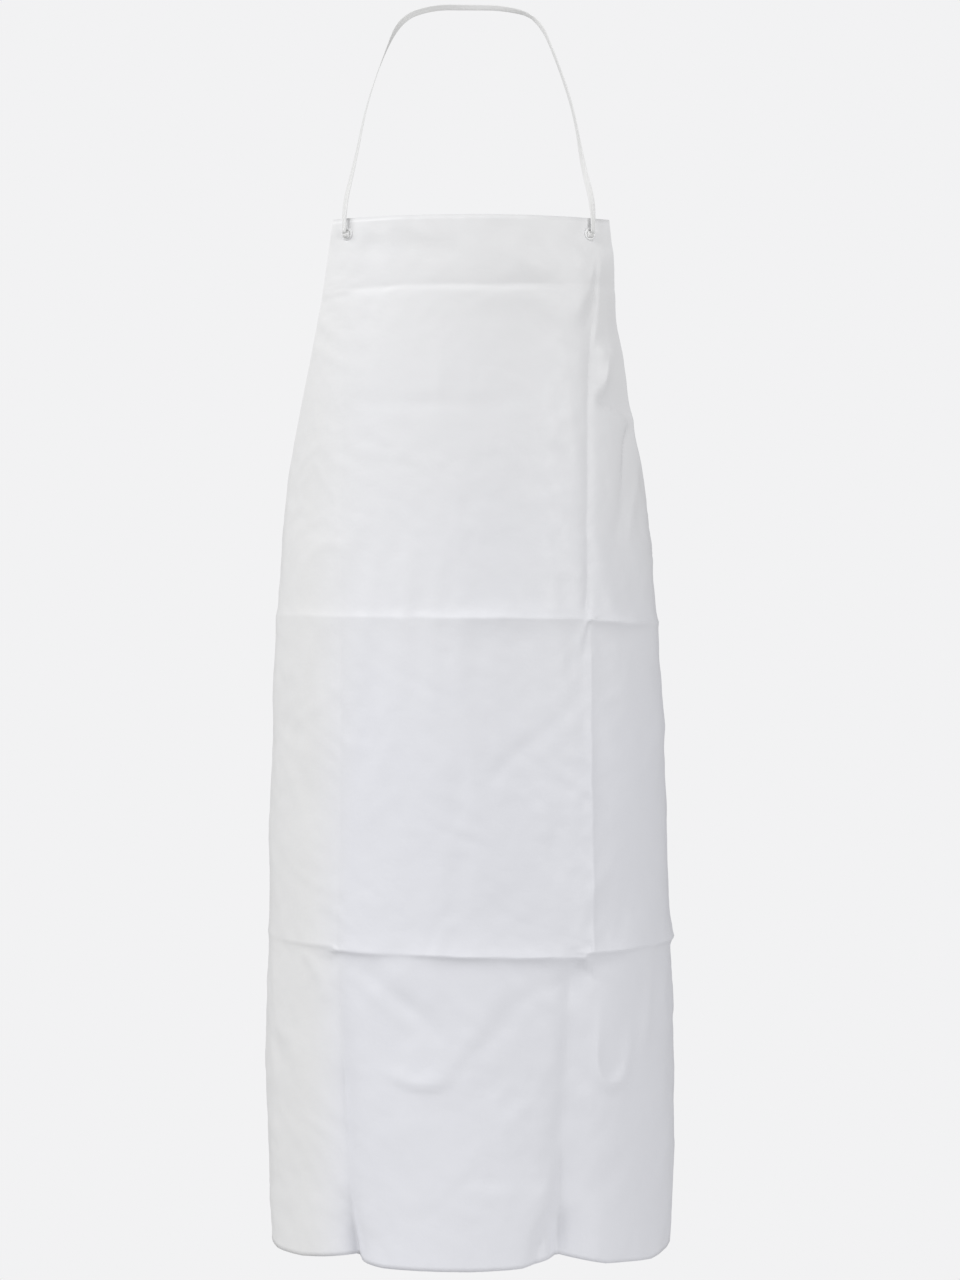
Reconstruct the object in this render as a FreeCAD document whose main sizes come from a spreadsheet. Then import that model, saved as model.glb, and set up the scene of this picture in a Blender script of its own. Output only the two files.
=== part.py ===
import FreeCAD, Part

import math
import os

import Sketcher

# A butcher's apron as it hangs on a wearer. Units are millimetres.
# +Z is up, -Y is the apron's front, +X is the viewer's right.
# The origin is the underside of the neck tape, where it rests on the back of the neck.

V = FreeCAD.Vector
UP = V(0, 0, 1)
doc = FreeCAD.newDocument("butcher_apron")
sheet = doc.addObject("Spreadsheet::Sheet", "Dimensions")

# The wrapped sheet is lofted through half-ellipses. Each level has its drop below the origin,
# its half width, its depth from front to side, and how far its front stands before the origin.
LEVELS = ("bib_top", "chest", "waist", "belly", "hip", "thigh", "hem")
LEVEL_SIZES = {
    "drop": (292, 460, 640, 800, 1000, 1180, 1558),
    "half_width": (240, 228, 227, 241.5, 250.5, 256, 251),
    "depth": (140, 140, 147, 163, 182, 188, 190),
    "front": (190, 194, 197, 200, 203, 204, 206),
}
DIMENSIONS = {
    # sheet
    "sheet_thickness": 1.5,  # stands in for a coated sheet of 0.35 mm
    "layer_gap": 0.1,
    "strip_thickness": 1.0,
    "strip_width": 22,
    "patch_radius": 22,
    "armhole_drop": 410,
    "corner_front": 151,
    "armhole_pull_top": 150,
    "armhole_lean_top": 138,
    "armhole_lean_low": 105,
    "side_edge_back": 72,
    # eyelets
    "bore_radius": 4.5,
    "barrel_wall": 0.8,
    "barrel_gap": 0.15,
    "flange_radius": 7.5,
    "flange_height": 1.2,
    "flange_bevel": 0.7,
    "flange_gap": 0.2,
    "washer_height": 0.7,
    "washer_play": 0.1,
    "curl_height": 0.5,
    "curl_width": 0.9,
    "bib_eyelet_side": 148,
    "bib_eyelet_drop": 311,
    "waist_eyelet_back": 50,
    "waist_eyelet_drop": 436,
    # neck tape and its knots
    "tape_width": 7,
    "hinge_stand_off": 5.4,
    "tape_play": 0.3,
    "knot_radius": 6.5,
}
for name, values in LEVEL_SIZES.items():
    DIMENSIONS |= {f"{level}_{name}": value for level, value in zip(LEVELS, values)}
for row, (alias, value) in enumerate(DIMENSIONS.items(), 1):
    sheet.set(f"A{row}", alias)
    sheet.set(f"B{row}", str(value))
    sheet.setAlias(f"B{row}", alias)
doc.recompute()


def size(alias):
    return float(sheet.get(alias))


def cell(text):
    """An expression in which each known alias is replaced by its spreadsheet cell."""
    words = [f"Dimensions.{w}" if w in DIMENSIONS else w for w in text.split()]
    return " ".join(words)


def bound(item, **expressions):
    """Binds an object's sizes to the spreadsheet. Two underscores in a name stand for a dot."""
    for name, text in expressions.items():
        item.setExpression(name.replace("__", "."), cell(text))
    return item


def add(kind, name, **expressions):
    item = doc.addObject(kind, name)
    item.Label = name
    return bound(item, **expressions)


def boolean(kind, name, base, tool):
    item = add(kind, name)
    item.Base = base
    item.Tool = tool
    return item


# ---------------------------------------------------------------- the wrapped sheet


def wrap(name, inset):
    """The solid inside the apron's wrapped shape, drawn in by inset. Its seam is on the left side."""
    rings = []
    for level in LEVELS:
        ring = add("Part::Ellipse", f"{name}_{level}")
        ring.Placement = FreeCAD.Placement(V(), FreeCAD.Rotation(UP, 180))
        bound(
            ring,
            MajorRadius=f"{level}_half_width - ( {inset} )",
            MinorRadius=f"{level}_depth - ( {inset} )",
            Placement__Base__y=f"{level}_depth - {level}_front",
            Placement__Base__z=f"-1 * {level}_drop",
        )
        rings.append(ring)
    loft = add("Part::Loft", name)
    loft.Sections = rings
    loft.Solid = True
    return loft


def side_cutter():
    """All that lies behind the sheet's side edges: under the armhole curve the edge is straight."""
    top = -size("bib_top_drop")
    hem = -size("hem_drop")
    armhole_end = top - size("armhole_drop")
    edge = size("side_edge_back")
    reach = 2 * size("hip_half_width")
    margin = size("strip_width")
    curve = Part.BezierCurve()
    curve.setPoles(
        [
            V(-reach, -size("corner_front"), top),
            V(-reach, -size("armhole_lean_top"), top - size("armhole_pull_top")),
            V(-reach, -size("armhole_lean_low"), armhole_end),
            V(-reach, edge, armhole_end),
        ]
    )
    corners = [
        V(-reach, edge, armhole_end),
        V(-reach, edge, hem - margin),
        V(-reach, reach, hem - margin),
        V(-reach, reach, top + margin),
        V(-reach, -size("corner_front"), top + margin),
        V(-reach, -size("corner_front"), top),
    ]
    lines = [Part.makeLine(a, b) for a, b in zip(corners, corners[1:])]
    outline = Part.Face(Part.Wire([curve.toShape(), *lines]))
    return outline.extrude(V(2 * reach, 0, 0))


PANEL_BACK = "sheet_thickness"
BACKING_FRONT = "sheet_thickness + layer_gap"
BACKING_BACK = "sheet_thickness + layer_gap + strip_thickness"
outer = wrap("outer_form", "0")
sheet_wall = boolean("Part::Cut", "sheet_wall", outer, wrap("inner_form", PANEL_BACK))
backing_wall = boolean(
    "Part::Cut", "backing_wall", wrap("backing_outer", BACKING_FRONT), wrap("backing_inner", BACKING_BACK)
)
cutter = doc.addObject("Part::Feature", "side_cutter")
cutter.Shape = side_cutter()
panel_blank = boolean("Part::Cut", "panel_blank", sheet_wall, cutter)
backing_blank = boolean("Part::Cut", "backing_blank", backing_wall, cutter)
# Only the right half of a wall is used, away from the seam. The left half is its mirror image.
right_zone = add(
    "Part::Box",
    "right_zone",
    Length="2 * hip_half_width",
    Width="4 * hip_half_width",
    Height="hem_drop - bib_top_drop",
    Placement__Base__y="-2 * hip_half_width",
    Placement__Base__z="-1 * hem_drop",
)
doc.recompute()


def mirrored(name, source):
    """The source's mirror image on the other side."""
    image = add("Part::Mirroring", name)
    image.Source = source
    image.Normal = V(1, 0, 0)
    return image


# ---------------------------------------------------------------- eyelets


TOUCHING = 1e-6


def seat(start, direction):
    """A placement on the sheet's outer face where a ray from start leaves it, with Z outwards."""
    ray = Part.makeLine(start, start + direction * 2 * size("hip_half_width"))
    for face in outer.Shape.Faces:
        gap, pairs, facts = ray.distToShape(face)
        if gap < TOUCHING and facts[0][3] == "Face":
            point = pairs[0][1]
            normal = face.normalAt(*facts[0][5])
            if normal.dot(direction) < 0:
                normal = normal * -1
            return FreeCAD.Placement(point, FreeCAD.Rotation(UP, normal))
    raise ValueError("the ray meets no face")


bib_drop = size("bib_eyelet_drop")
waist_drop = size("bib_top_drop") + size("waist_eyelet_drop")
SEATS = {}
for side, sign in (("left", -1), ("right", 1)):
    bib_start = V(sign * size("bib_eyelet_side"), 0, -bib_drop)
    waist_start = V(0, size("waist_eyelet_back"), -waist_drop)
    SEATS["bib", side] = seat(bib_start, V(0, -1, 0))
    SEATS["waist", side] = seat(waist_start, V(sign, 0, 0))

STACK = "sheet_thickness + layer_gap + strip_thickness"
BARREL = "bore_radius + barrel_wall"
WASHER_FRONT = f"{STACK} + flange_gap"
WASHER_BACK = f"{WASHER_FRONT} + washer_height"
CURL_FRONT = f"{WASHER_BACK} + washer_play"
CURL_BACK = f"{CURL_FRONT} + curl_height"
# (radius, height) of each corner. Heights are from the sheet's outer face, outwards.
EYELET_OUTLINE = (
    ("bore_radius", f"-1 * ( {CURL_BACK} )"),
    (f"{BARREL} + curl_width", f"-1 * ( {CURL_BACK} )"),
    (f"{BARREL} + curl_width", f"-1 * ( {CURL_FRONT} )"),
    (BARREL, f"-1 * ( {CURL_FRONT} )"),
    (BARREL, "flange_gap"),
    ("flange_radius", "flange_gap"),
    ("flange_radius", "flange_gap + flange_height - flange_bevel"),
    ("flange_radius - flange_bevel", "flange_gap + flange_height"),
    ("bore_radius + flange_bevel", "flange_gap + flange_height"),
    ("bore_radius", "flange_gap + flange_height - flange_bevel"),
)
WASHER_OUTLINE = (
    (f"{BARREL} + barrel_gap", f"-1 * ( {WASHER_BACK} )"),
    ("flange_radius", f"-1 * ( {WASHER_BACK} )"),
    ("flange_radius", f"-1 * ( {WASHER_FRONT} )"),
    (f"{BARREL} + barrel_gap", f"-1 * ( {WASHER_FRONT} )"),
)


def turned(name, outline, place):
    """A ring turned about its own Z axis from an outline of (radius, height) corners."""
    body = add("PartDesign::Body", name)
    planes = {f.Role: f for f in body.Origin.OriginFeatures}
    sketch = body.newObject("Sketcher::SketchObject", f"{name}_outline")
    sketch.AttachmentSupport = [(planes["XZ_Plane"], "")]
    sketch.MapMode = "FlatFace"
    corners = [V(*(sheet.evalExpression(cell(text)) for text in corner), 0) for corner in outline]
    ahead = corners[1:] + corners[:1]
    for a, b in zip(corners, ahead):
        sketch.addGeometry(Part.LineSegment(a, b), False)
    for i in range(len(corners)):
        meets = (i + 1) % len(corners)
        sketch.addConstraint(Sketcher.Constraint("Coincident", i, 2, meets, 1))
    for i, (radius, height) in enumerate(outline):
        across = sketch.addConstraint(Sketcher.Constraint("DistanceX", -1, 1, i, 1, corners[i].x))
        sketch.setExpression(f"Constraints[{across}]", cell(radius))
        up = sketch.addConstraint(Sketcher.Constraint("DistanceY", -1, 1, i, 1, corners[i].y))
        sketch.setExpression(f"Constraints[{up}]", cell(height))
    turn = body.newObject("PartDesign::Revolution", f"{name}_turn")
    turn.Profile = sketch
    turn.ReferenceAxis = (sketch, ["V_Axis"])
    turn.Angle = 360
    body.Placement = place
    return body


def along_seat(place, height):
    """The seat's placement moved outwards along its own axis."""
    return FreeCAD.Placement(place.multVec(V(0, 0, height)), place.Rotation)


pieces = {}
for (edge, side), place in SEATS.items():
    for kind, outline in (("eyelet", EYELET_OUTLINE), ("washer", WASHER_OUTLINE)):
        name = f"{edge}_{kind}_{side}"
        pieces[name] = turned(name, outline, place)


# ---------------------------------------------------------------- sheet, strip and patches

PUNCH_REACH = 12


def punch(name, edge, **expressions):
    """A cylinder through the sheet on an eyelet's axis, on the right."""
    tool = add("Part::Cylinder", name, **expressions)
    tool.Height = 2 * PUNCH_REACH
    tool.Placement = along_seat(SEATS[edge, "right"], -PUNCH_REACH)
    return tool


def both_sides(name, source, hole):
    """One sheet from the right half of source, punched, and its mirror image."""
    half = boolean("Part::Common", f"{name}_half", source, right_zone)
    right = boolean("Part::Cut", f"{name}_right_half", half, hole)
    return boolean("Part::Fuse", name, right, mirrored(f"{name}_left_half", right))


HOLE = f"{BARREL} + barrel_gap"
bib_hole = punch("bib_punch", "bib", Radius=HOLE)
waist_hole = punch("waist_punch", "waist", Radius=HOLE)
holes = add("Part::Compound", "eyelet_holes")
holes.Links = [bib_hole, waist_hole]
pieces["apron_panel"] = both_sides("apron_panel", panel_blank, holes)

strip_zone = add(
    "Part::Box",
    "strip_zone",
    Length="2 * hip_half_width",
    Width="bib_top_front",
    Height="strip_width",
    Placement__Base__x="-1 * hip_half_width",
    Placement__Base__y="-1 * bib_top_front - strip_thickness",
    Placement__Base__z="-1 * bib_top_drop - strip_width",
)
strip_blank = boolean("Part::Common", "strip_blank", backing_blank, strip_zone)
pieces["bib_top_strip"] = both_sides("bib_top_strip", strip_blank, bib_hole)

patch_zone = punch("patch_zone", "waist", Radius="patch_radius")
patch_blank = boolean("Part::Common", "patch_blank", backing_blank, patch_zone)
pieces["waist_patch_right"] = boolean("Part::Cut", "waist_patch_right", patch_blank, waist_hole)
pieces["waist_patch_left"] = mirrored("waist_patch_left", pieces["waist_patch_right"])


# ---------------------------------------------------------------- neck tape and its knots

# The tape's ends turn about one line, which runs just in front of the bib's two eyelets.
hinge_ends = {}
for side in ("left", "right"):
    hinge_ends[side] = along_seat(SEATS["bib", side], size("hinge_stand_off")).Base
# The route from the left end to the right: up past the bib's edge, back over the shoulders, round the neck.
ROUTE = [
    hinge_ends["left"],
    V(-151.5, -164.5, -281),
    V(-138, -148, -222),
    V(-126, -126, -150),
    V(-107, -94, -82),
    V(-86, -49, -22),
    V(-46, -13, 1),
    V(-2, 4, 5),
    V(44, -13, 0.5),
    V(87, -46, -19),
    V(109.5, -94, -86),
    V(129, -127, -155),
    V(139, -149, -226),
    V(152.5, -164.5, -282),
    hinge_ends["right"],
]
RUN_SHARE = 0.45


def rounded_path(route):
    """Straight runs joined by tangent arcs, each as large as its two runs allow, and the radii."""
    edges = []
    radii = []
    start = route[0]
    for before, corner, after in zip(route, route[1:], route[2:]):
        back = before - corner
        ahead = after - corner
        share = RUN_SHARE * min(back.Length, ahead.Length)
        back.normalize()
        ahead.normalize()
        half_turn = (math.pi - back.getAngle(ahead)) / 2
        radius = share / math.tan(half_turn)
        enter = corner + back * share
        leave = corner + ahead * share
        inward = (back + ahead).normalize()
        middle = corner + inward * (radius / math.cos(half_turn) - radius)
        edges.append(Part.LineSegment(start, enter).toShape())
        edges.append(Part.Arc(enter, middle, leave).toShape())
        radii.append(radius)
        start = leave
    edges.append(Part.LineSegment(start, route[-1]).toShape())
    return Part.Wire(edges), radii


path, radii = rounded_path(ROUTE)
tape_radius = size("tape_width") / 2
first_run = ROUTE[1] - ROUTE[0]
ring = Part.Wire(Part.makeCircle(tape_radius, ROUTE[0], first_run))
tube = path.makePipeShell([ring], True, False)
print("tape length", round(path.Length, 1), "arc radii", [round(r) for r in radii])
print("tube volume over section times length", tube.Volume / (math.pi * tape_radius**2 * path.Length))
tape = doc.addObject("Part::Feature", "neck_tape")
tape.Label = "neck_tape"
tape.Shape = tube.multiFuse([Part.makeSphere(tape_radius, end) for end in (ROUTE[0], ROUTE[-1])])
pieces["neck_tape"] = tape

knot_drop = sheet.evalExpression(cell(f"{CURL_BACK} + tape_play + knot_radius"))
for side in ("left", "right"):
    ball = add("Part::Sphere", f"knot_ball_{side}", Radius="knot_radius")
    ball.Placement = along_seat(SEATS["bib", side], -knot_drop)
    tail = add(
        "Part::Cylinder",
        f"knot_tail_{side}",
        Radius="tape_width / 2",
        Height=f"hinge_stand_off - tape_width / 2 - tape_play + {CURL_BACK} + tape_play + knot_radius",
    )
    tail.Placement = ball.Placement
    pieces[f"neck_knot_{side}"] = boolean("Part::Fuse", f"neck_knot_{side}", ball, tail)


# ---------------------------------------------------------------- checks and export

doc.recompute()
for item in doc.Objects:
    if {"Invalid", "Error"} & set(item.State):
        raise RuntimeError(f"{item.Name} failed: {item.State}")
for name, place in SEATS.items():
    print(name, place.Base, "outwards", place.Rotation.multVec(UP))
for name, item in pieces.items():
    if item.Shape.isNull() or not item.Shape.isValid() or len(item.Shape.Solids) != 1:
        raise RuntimeError(f"{name} is not one valid solid")
print("hinge line", hinge_ends)

os.makedirs("parts", exist_ok=True)
for name, item in pieces.items():
    item.Shape.exportStep(f"parts/{name}.step")
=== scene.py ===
import math

import bmesh
import bpy
import numpy as np
from mathutils import Matrix, Vector, noise


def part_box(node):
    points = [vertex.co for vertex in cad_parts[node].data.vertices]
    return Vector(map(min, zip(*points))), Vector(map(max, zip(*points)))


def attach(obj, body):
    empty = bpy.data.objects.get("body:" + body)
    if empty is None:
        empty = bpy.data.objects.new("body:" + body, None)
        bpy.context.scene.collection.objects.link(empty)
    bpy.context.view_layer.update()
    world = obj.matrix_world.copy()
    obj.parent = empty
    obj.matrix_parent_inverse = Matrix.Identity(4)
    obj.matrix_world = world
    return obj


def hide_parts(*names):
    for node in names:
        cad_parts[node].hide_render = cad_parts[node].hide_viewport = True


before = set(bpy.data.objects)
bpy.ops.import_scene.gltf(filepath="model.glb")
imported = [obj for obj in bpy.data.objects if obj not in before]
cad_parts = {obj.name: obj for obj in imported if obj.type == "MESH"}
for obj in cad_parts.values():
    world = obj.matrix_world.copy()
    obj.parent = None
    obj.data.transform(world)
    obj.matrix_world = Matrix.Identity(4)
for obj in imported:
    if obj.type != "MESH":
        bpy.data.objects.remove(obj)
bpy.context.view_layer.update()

# A white coated butcher apron, in the shape that it has on a wearer. Metres: x runs from left to right in
# the picture, y away from the camera and z up. The origin is the underside of the neck loop's middle. Left
# and right in names are the picture's. On the sheet, s runs across it from its middle and v down it from the
# bib's top.
MM = 0.001


def new_object(name, data):
    made = bpy.data.objects.new(name, data)
    bpy.context.scene.collection.objects.link(made)
    return made


# ---------------------------------------------------------------- camera

CAMERA_PLACE = (0.014, -3.19, -0.803)
CAMERA_LENS = 70.3125
CAMERA_SENSOR = 36


def make_camera():
    """A level camera that looks straight at the apron's front."""
    data = bpy.data.cameras.new("camera")
    data.lens = CAMERA_LENS
    data.sensor_width = CAMERA_SENSOR
    camera = new_object("camera", data)
    camera.location = CAMERA_PLACE
    camera.rotation_euler = (math.pi / 2, 0, 0)
    bpy.context.scene.camera = camera


make_camera()


# ---------------------------------------------------------------- numbers and meshes


def unit(vectors):
    return vectors / np.linalg.norm(vectors, axis=-1, keepdims=True)


def running_total(steps):
    return np.concatenate([[0], np.cumsum(steps)])


def travelled_along(points):
    """How far along a line of points each of them lies."""
    return running_total(np.linalg.norm(np.diff(points, axis=0), axis=1))


def eased(low, high, value):
    """A smooth change from 0 to 1 as value goes from low to high."""
    t = np.clip((value - low) / (high - low), 0, 1)
    return t * t * (3 - 2 * t)


def read(table, at):
    """The second column of a table in millimetres, read at places in its first."""
    places, values = np.array(table).T * MM
    return np.interp(at, places, values)


def spline(knots, values):
    """A natural cubic spline through the values, as a function."""
    count = len(knots)
    gaps = np.diff(knots)
    slopes = np.diff(values) / gaps
    matrix = np.eye(count)
    right = np.zeros(count)
    for i in range(1, count - 1):
        matrix[i, i - 1 : i + 2] = gaps[i - 1], 2 * (gaps[i - 1] + gaps[i]), gaps[i]
        right[i] = 6 * (slopes[i] - slopes[i - 1])
    bends = np.linalg.solve(matrix, right)

    def value(at):
        i = np.clip(np.searchsorted(knots, at) - 1, 0, count - 2)
        before = at - knots[i]
        after = knots[i + 1] - at
        cubic = (bends[i] * after**3 + bends[i + 1] * before**3) / (6 * gaps[i])
        low = (values[i] / gaps[i] - bends[i] * gaps[i] / 6) * after
        high = (values[i + 1] / gaps[i] - bends[i + 1] * gaps[i] / 6) * before
        return cubic + low + high

    return value


# Runs of a smooth line from each of its given points to the next.
SPAN_STEPS = 6


def smooth_line(points):
    """A curve through the points, in short runs."""
    points = np.array(points, float)
    ends = 2 * points[0] - points[1], 2 * points[-1] - points[-2]
    padded = np.vstack([ends[0], points, ends[1]])
    line = []
    for a, b, c, d in zip(padded, padded[1:], padded[2:], padded[3:]):
        for t in np.arange(SPAN_STEPS) / SPAN_STEPS:
            squared = (a - 2.5 * b + 2 * c - d / 2) * t**2
            cubed = (1.5 * (b - c) + (d - a) / 2) * t**3
            line.append(b + (c - a) * t / 2 + squared + cubed)
    return np.array(line + [points[-1]])


def mesh_of(name, points, faces):
    """A mesh from an array or list of points, and faces that count along it."""
    mesh = bpy.data.meshes.new(name)
    mesh.from_pydata(np.asarray(points).reshape(-1, 3).tolist(), [], faces)
    mesh.validate()
    return mesh


def grid_faces(rows, columns, first=0, flipped=False, closed=False):
    """Quads of a grid of points stored row by row. closed joins its last column to the first."""
    faces = []
    for r in range(rows - 1):
        for c in range(columns if closed else columns - 1):
            here = first + r * columns + c
            beside = first + r * columns + (c + 1) % columns
            quad = (here, beside, beside + columns, here + columns)
            faces.append(quad[::-1] if flipped else quad)
    return faces


def shell(name, outer, inner):
    """A thin closed sheet between two grids of the same size."""
    rows, columns, _ = outer.shape
    count = rows * columns
    faces = grid_faces(rows, columns) + grid_faces(rows, columns, count, flipped=True)
    top = list(range(columns))
    right = [r * columns + columns - 1 for r in range(rows)]
    bottom = [(rows - 1) * columns + c for c in range(columns)][::-1]
    left = [r * columns for r in range(rows)][::-1]
    for side in (top, right, bottom, left):
        faces += [(b, a, a + count, b + count) for a, b in zip(side, side[1:])]
    return mesh_of(name, np.concatenate([outer.reshape(-1, 3), inner.reshape(-1, 3)]), faces)


def joined(name, parts):
    """One mesh from several (points, faces) pairs."""
    points = []
    faces = []
    for part_points, part_faces in parts:
        faces += [tuple(len(points) + i for i in face) for face in part_faces]
        points += [tuple(p) for p in part_points]
    return mesh_of(name, points, faces)


def add_piece(name, mesh, material, replaced, body="apron"):
    """A smooth piece that stands for a CAD node, rides on a body and takes the material it is given."""
    for polygon in mesh.polygons:
        polygon.use_smooth = True
    mesh.materials.append(material)
    piece = new_object(name, mesh)
    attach(piece, body)
    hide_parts(replaced)
    return piece


# ---------------------------------------------------------------- the body's outline that the sheet lies on

# Half ellipses, one at each height: how far below the origin, half the width, half the depth, and how far
# the front stands from the origin towards the camera.
LEVEL_DROPS = np.array([292, 460, 640, 800, 1000, 1180, 1370, 1558]) * MM
HALF_WIDTHS = np.array([240, 228, 227, 241.5, 250.5, 256, 258, 251]) * MM
HALF_DEPTHS = np.array([140, 140, 147, 163, 182, 188, 190, 190]) * MM
FRONTS = np.array([190, 194, 197, 200, 203, 204, 204.5, 206]) * MM
# Radians round the body from its front, to beyond the sheet's sides.
TURN = np.linspace(0, 2.3, 800)

# The corners of the armhole's Bezier curve seen from the side: (y, distance below the bib's top).
ARMHOLE = np.array([(-151, 0), (-138, 150), (-105, 410), (72, 410)]) * MM
ARMHOLE_STEPS = 600

sheet_low, sheet_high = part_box("apron_panel")
TOP_DROP = -sheet_high.z
SHEET_LENGTH = sheet_high.z - sheet_low.z

half_width = spline(LEVEL_DROPS, HALF_WIDTHS)
half_depth = spline(LEVEL_DROPS, HALF_DEPTHS)
front = spline(LEVEL_DROPS, FRONTS)


def outline(v):
    """Arc length, x and y along the right half of the body, v below the bib's top."""
    drop = TOP_DROP + v
    x = half_width(drop) * np.sin(TURN)
    y = -front(drop) + half_depth(drop) * (1 - np.cos(TURN))
    return running_total(np.hypot(np.diff(x), np.diff(y))), x, y


def armhole_points():
    """Points (y, v) of the armhole's curve."""
    t = np.linspace(0, 1, ARMHOLE_STEPS)[:, None]
    weights = ((1 - t) ** 3, 3 * (1 - t) ** 2 * t, 3 * (1 - t) * t**2, t**3)
    return sum(w * corner for w, corner in zip(weights, ARMHOLE))


armhole = armhole_points()


def half_span(v):
    """The sheet's half width along its own surface, v below the bib's top."""
    edge_y = np.interp(v, armhole[:, 1], armhole[:, 0])
    arc, _, y = outline(v)
    return np.interp(edge_y, y, arc)


def on_body(s, v):
    """Points and level outward normals of the body's surface, for rows of s at each v."""
    points = np.zeros((*s.shape, 3))
    normals = np.zeros((*s.shape, 3))
    for i, (row, down) in enumerate(zip(s, v)):
        arc, x, y = outline(down)
        side = np.sign(row)
        turn = np.interp(np.abs(row), arc, TURN)
        points[i, :, 0] = side * np.interp(np.abs(row), arc, x)
        points[i, :, 1] = np.interp(np.abs(row), arc, y)
        points[i, :, 2] = -(TOP_DROP + down)
        normals[i, :, 0] = side * np.sin(turn) * half_depth(TOP_DROP + down)
        normals[i, :, 1] = -np.cos(turn) * half_width(TOP_DROP + down)
    return points, unit(normals)


def arc_at(y, v):
    """How far across the sheet its surface reaches a depth of y."""
    arc, _, depths = outline(v)
    return float(np.interp(y, depths, arc))


# ---------------------------------------------------------------- eyelets' places

# Each pair of eyelets, as in the CAD: its depth y, and how far below the bib's top it sits.
EYELET_PLACES = {"bib": (-160.592 * MM, 19 * MM), "waist": (50 * MM, 436 * MM)}
EYELETS = {row: (arc_at(y, drop), drop) for row, (y, drop) in EYELET_PLACES.items()}
SIDES = {"left": -1, "right": 1}
HOLE_RADIUS = 5.5 * MM


def clear_of_eyelets(s, v, low, high):
    """0 within low of every eyelet, 1 beyond high."""
    share = np.ones(s.shape)
    for across, down in EYELETS.values():
        for sign in SIDES.values():
            share = share * eased(low, high, np.hypot(s - sign * across, v - down))
    return share


# ---------------------------------------------------------------- relief: packing creases, folds and sags

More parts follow.
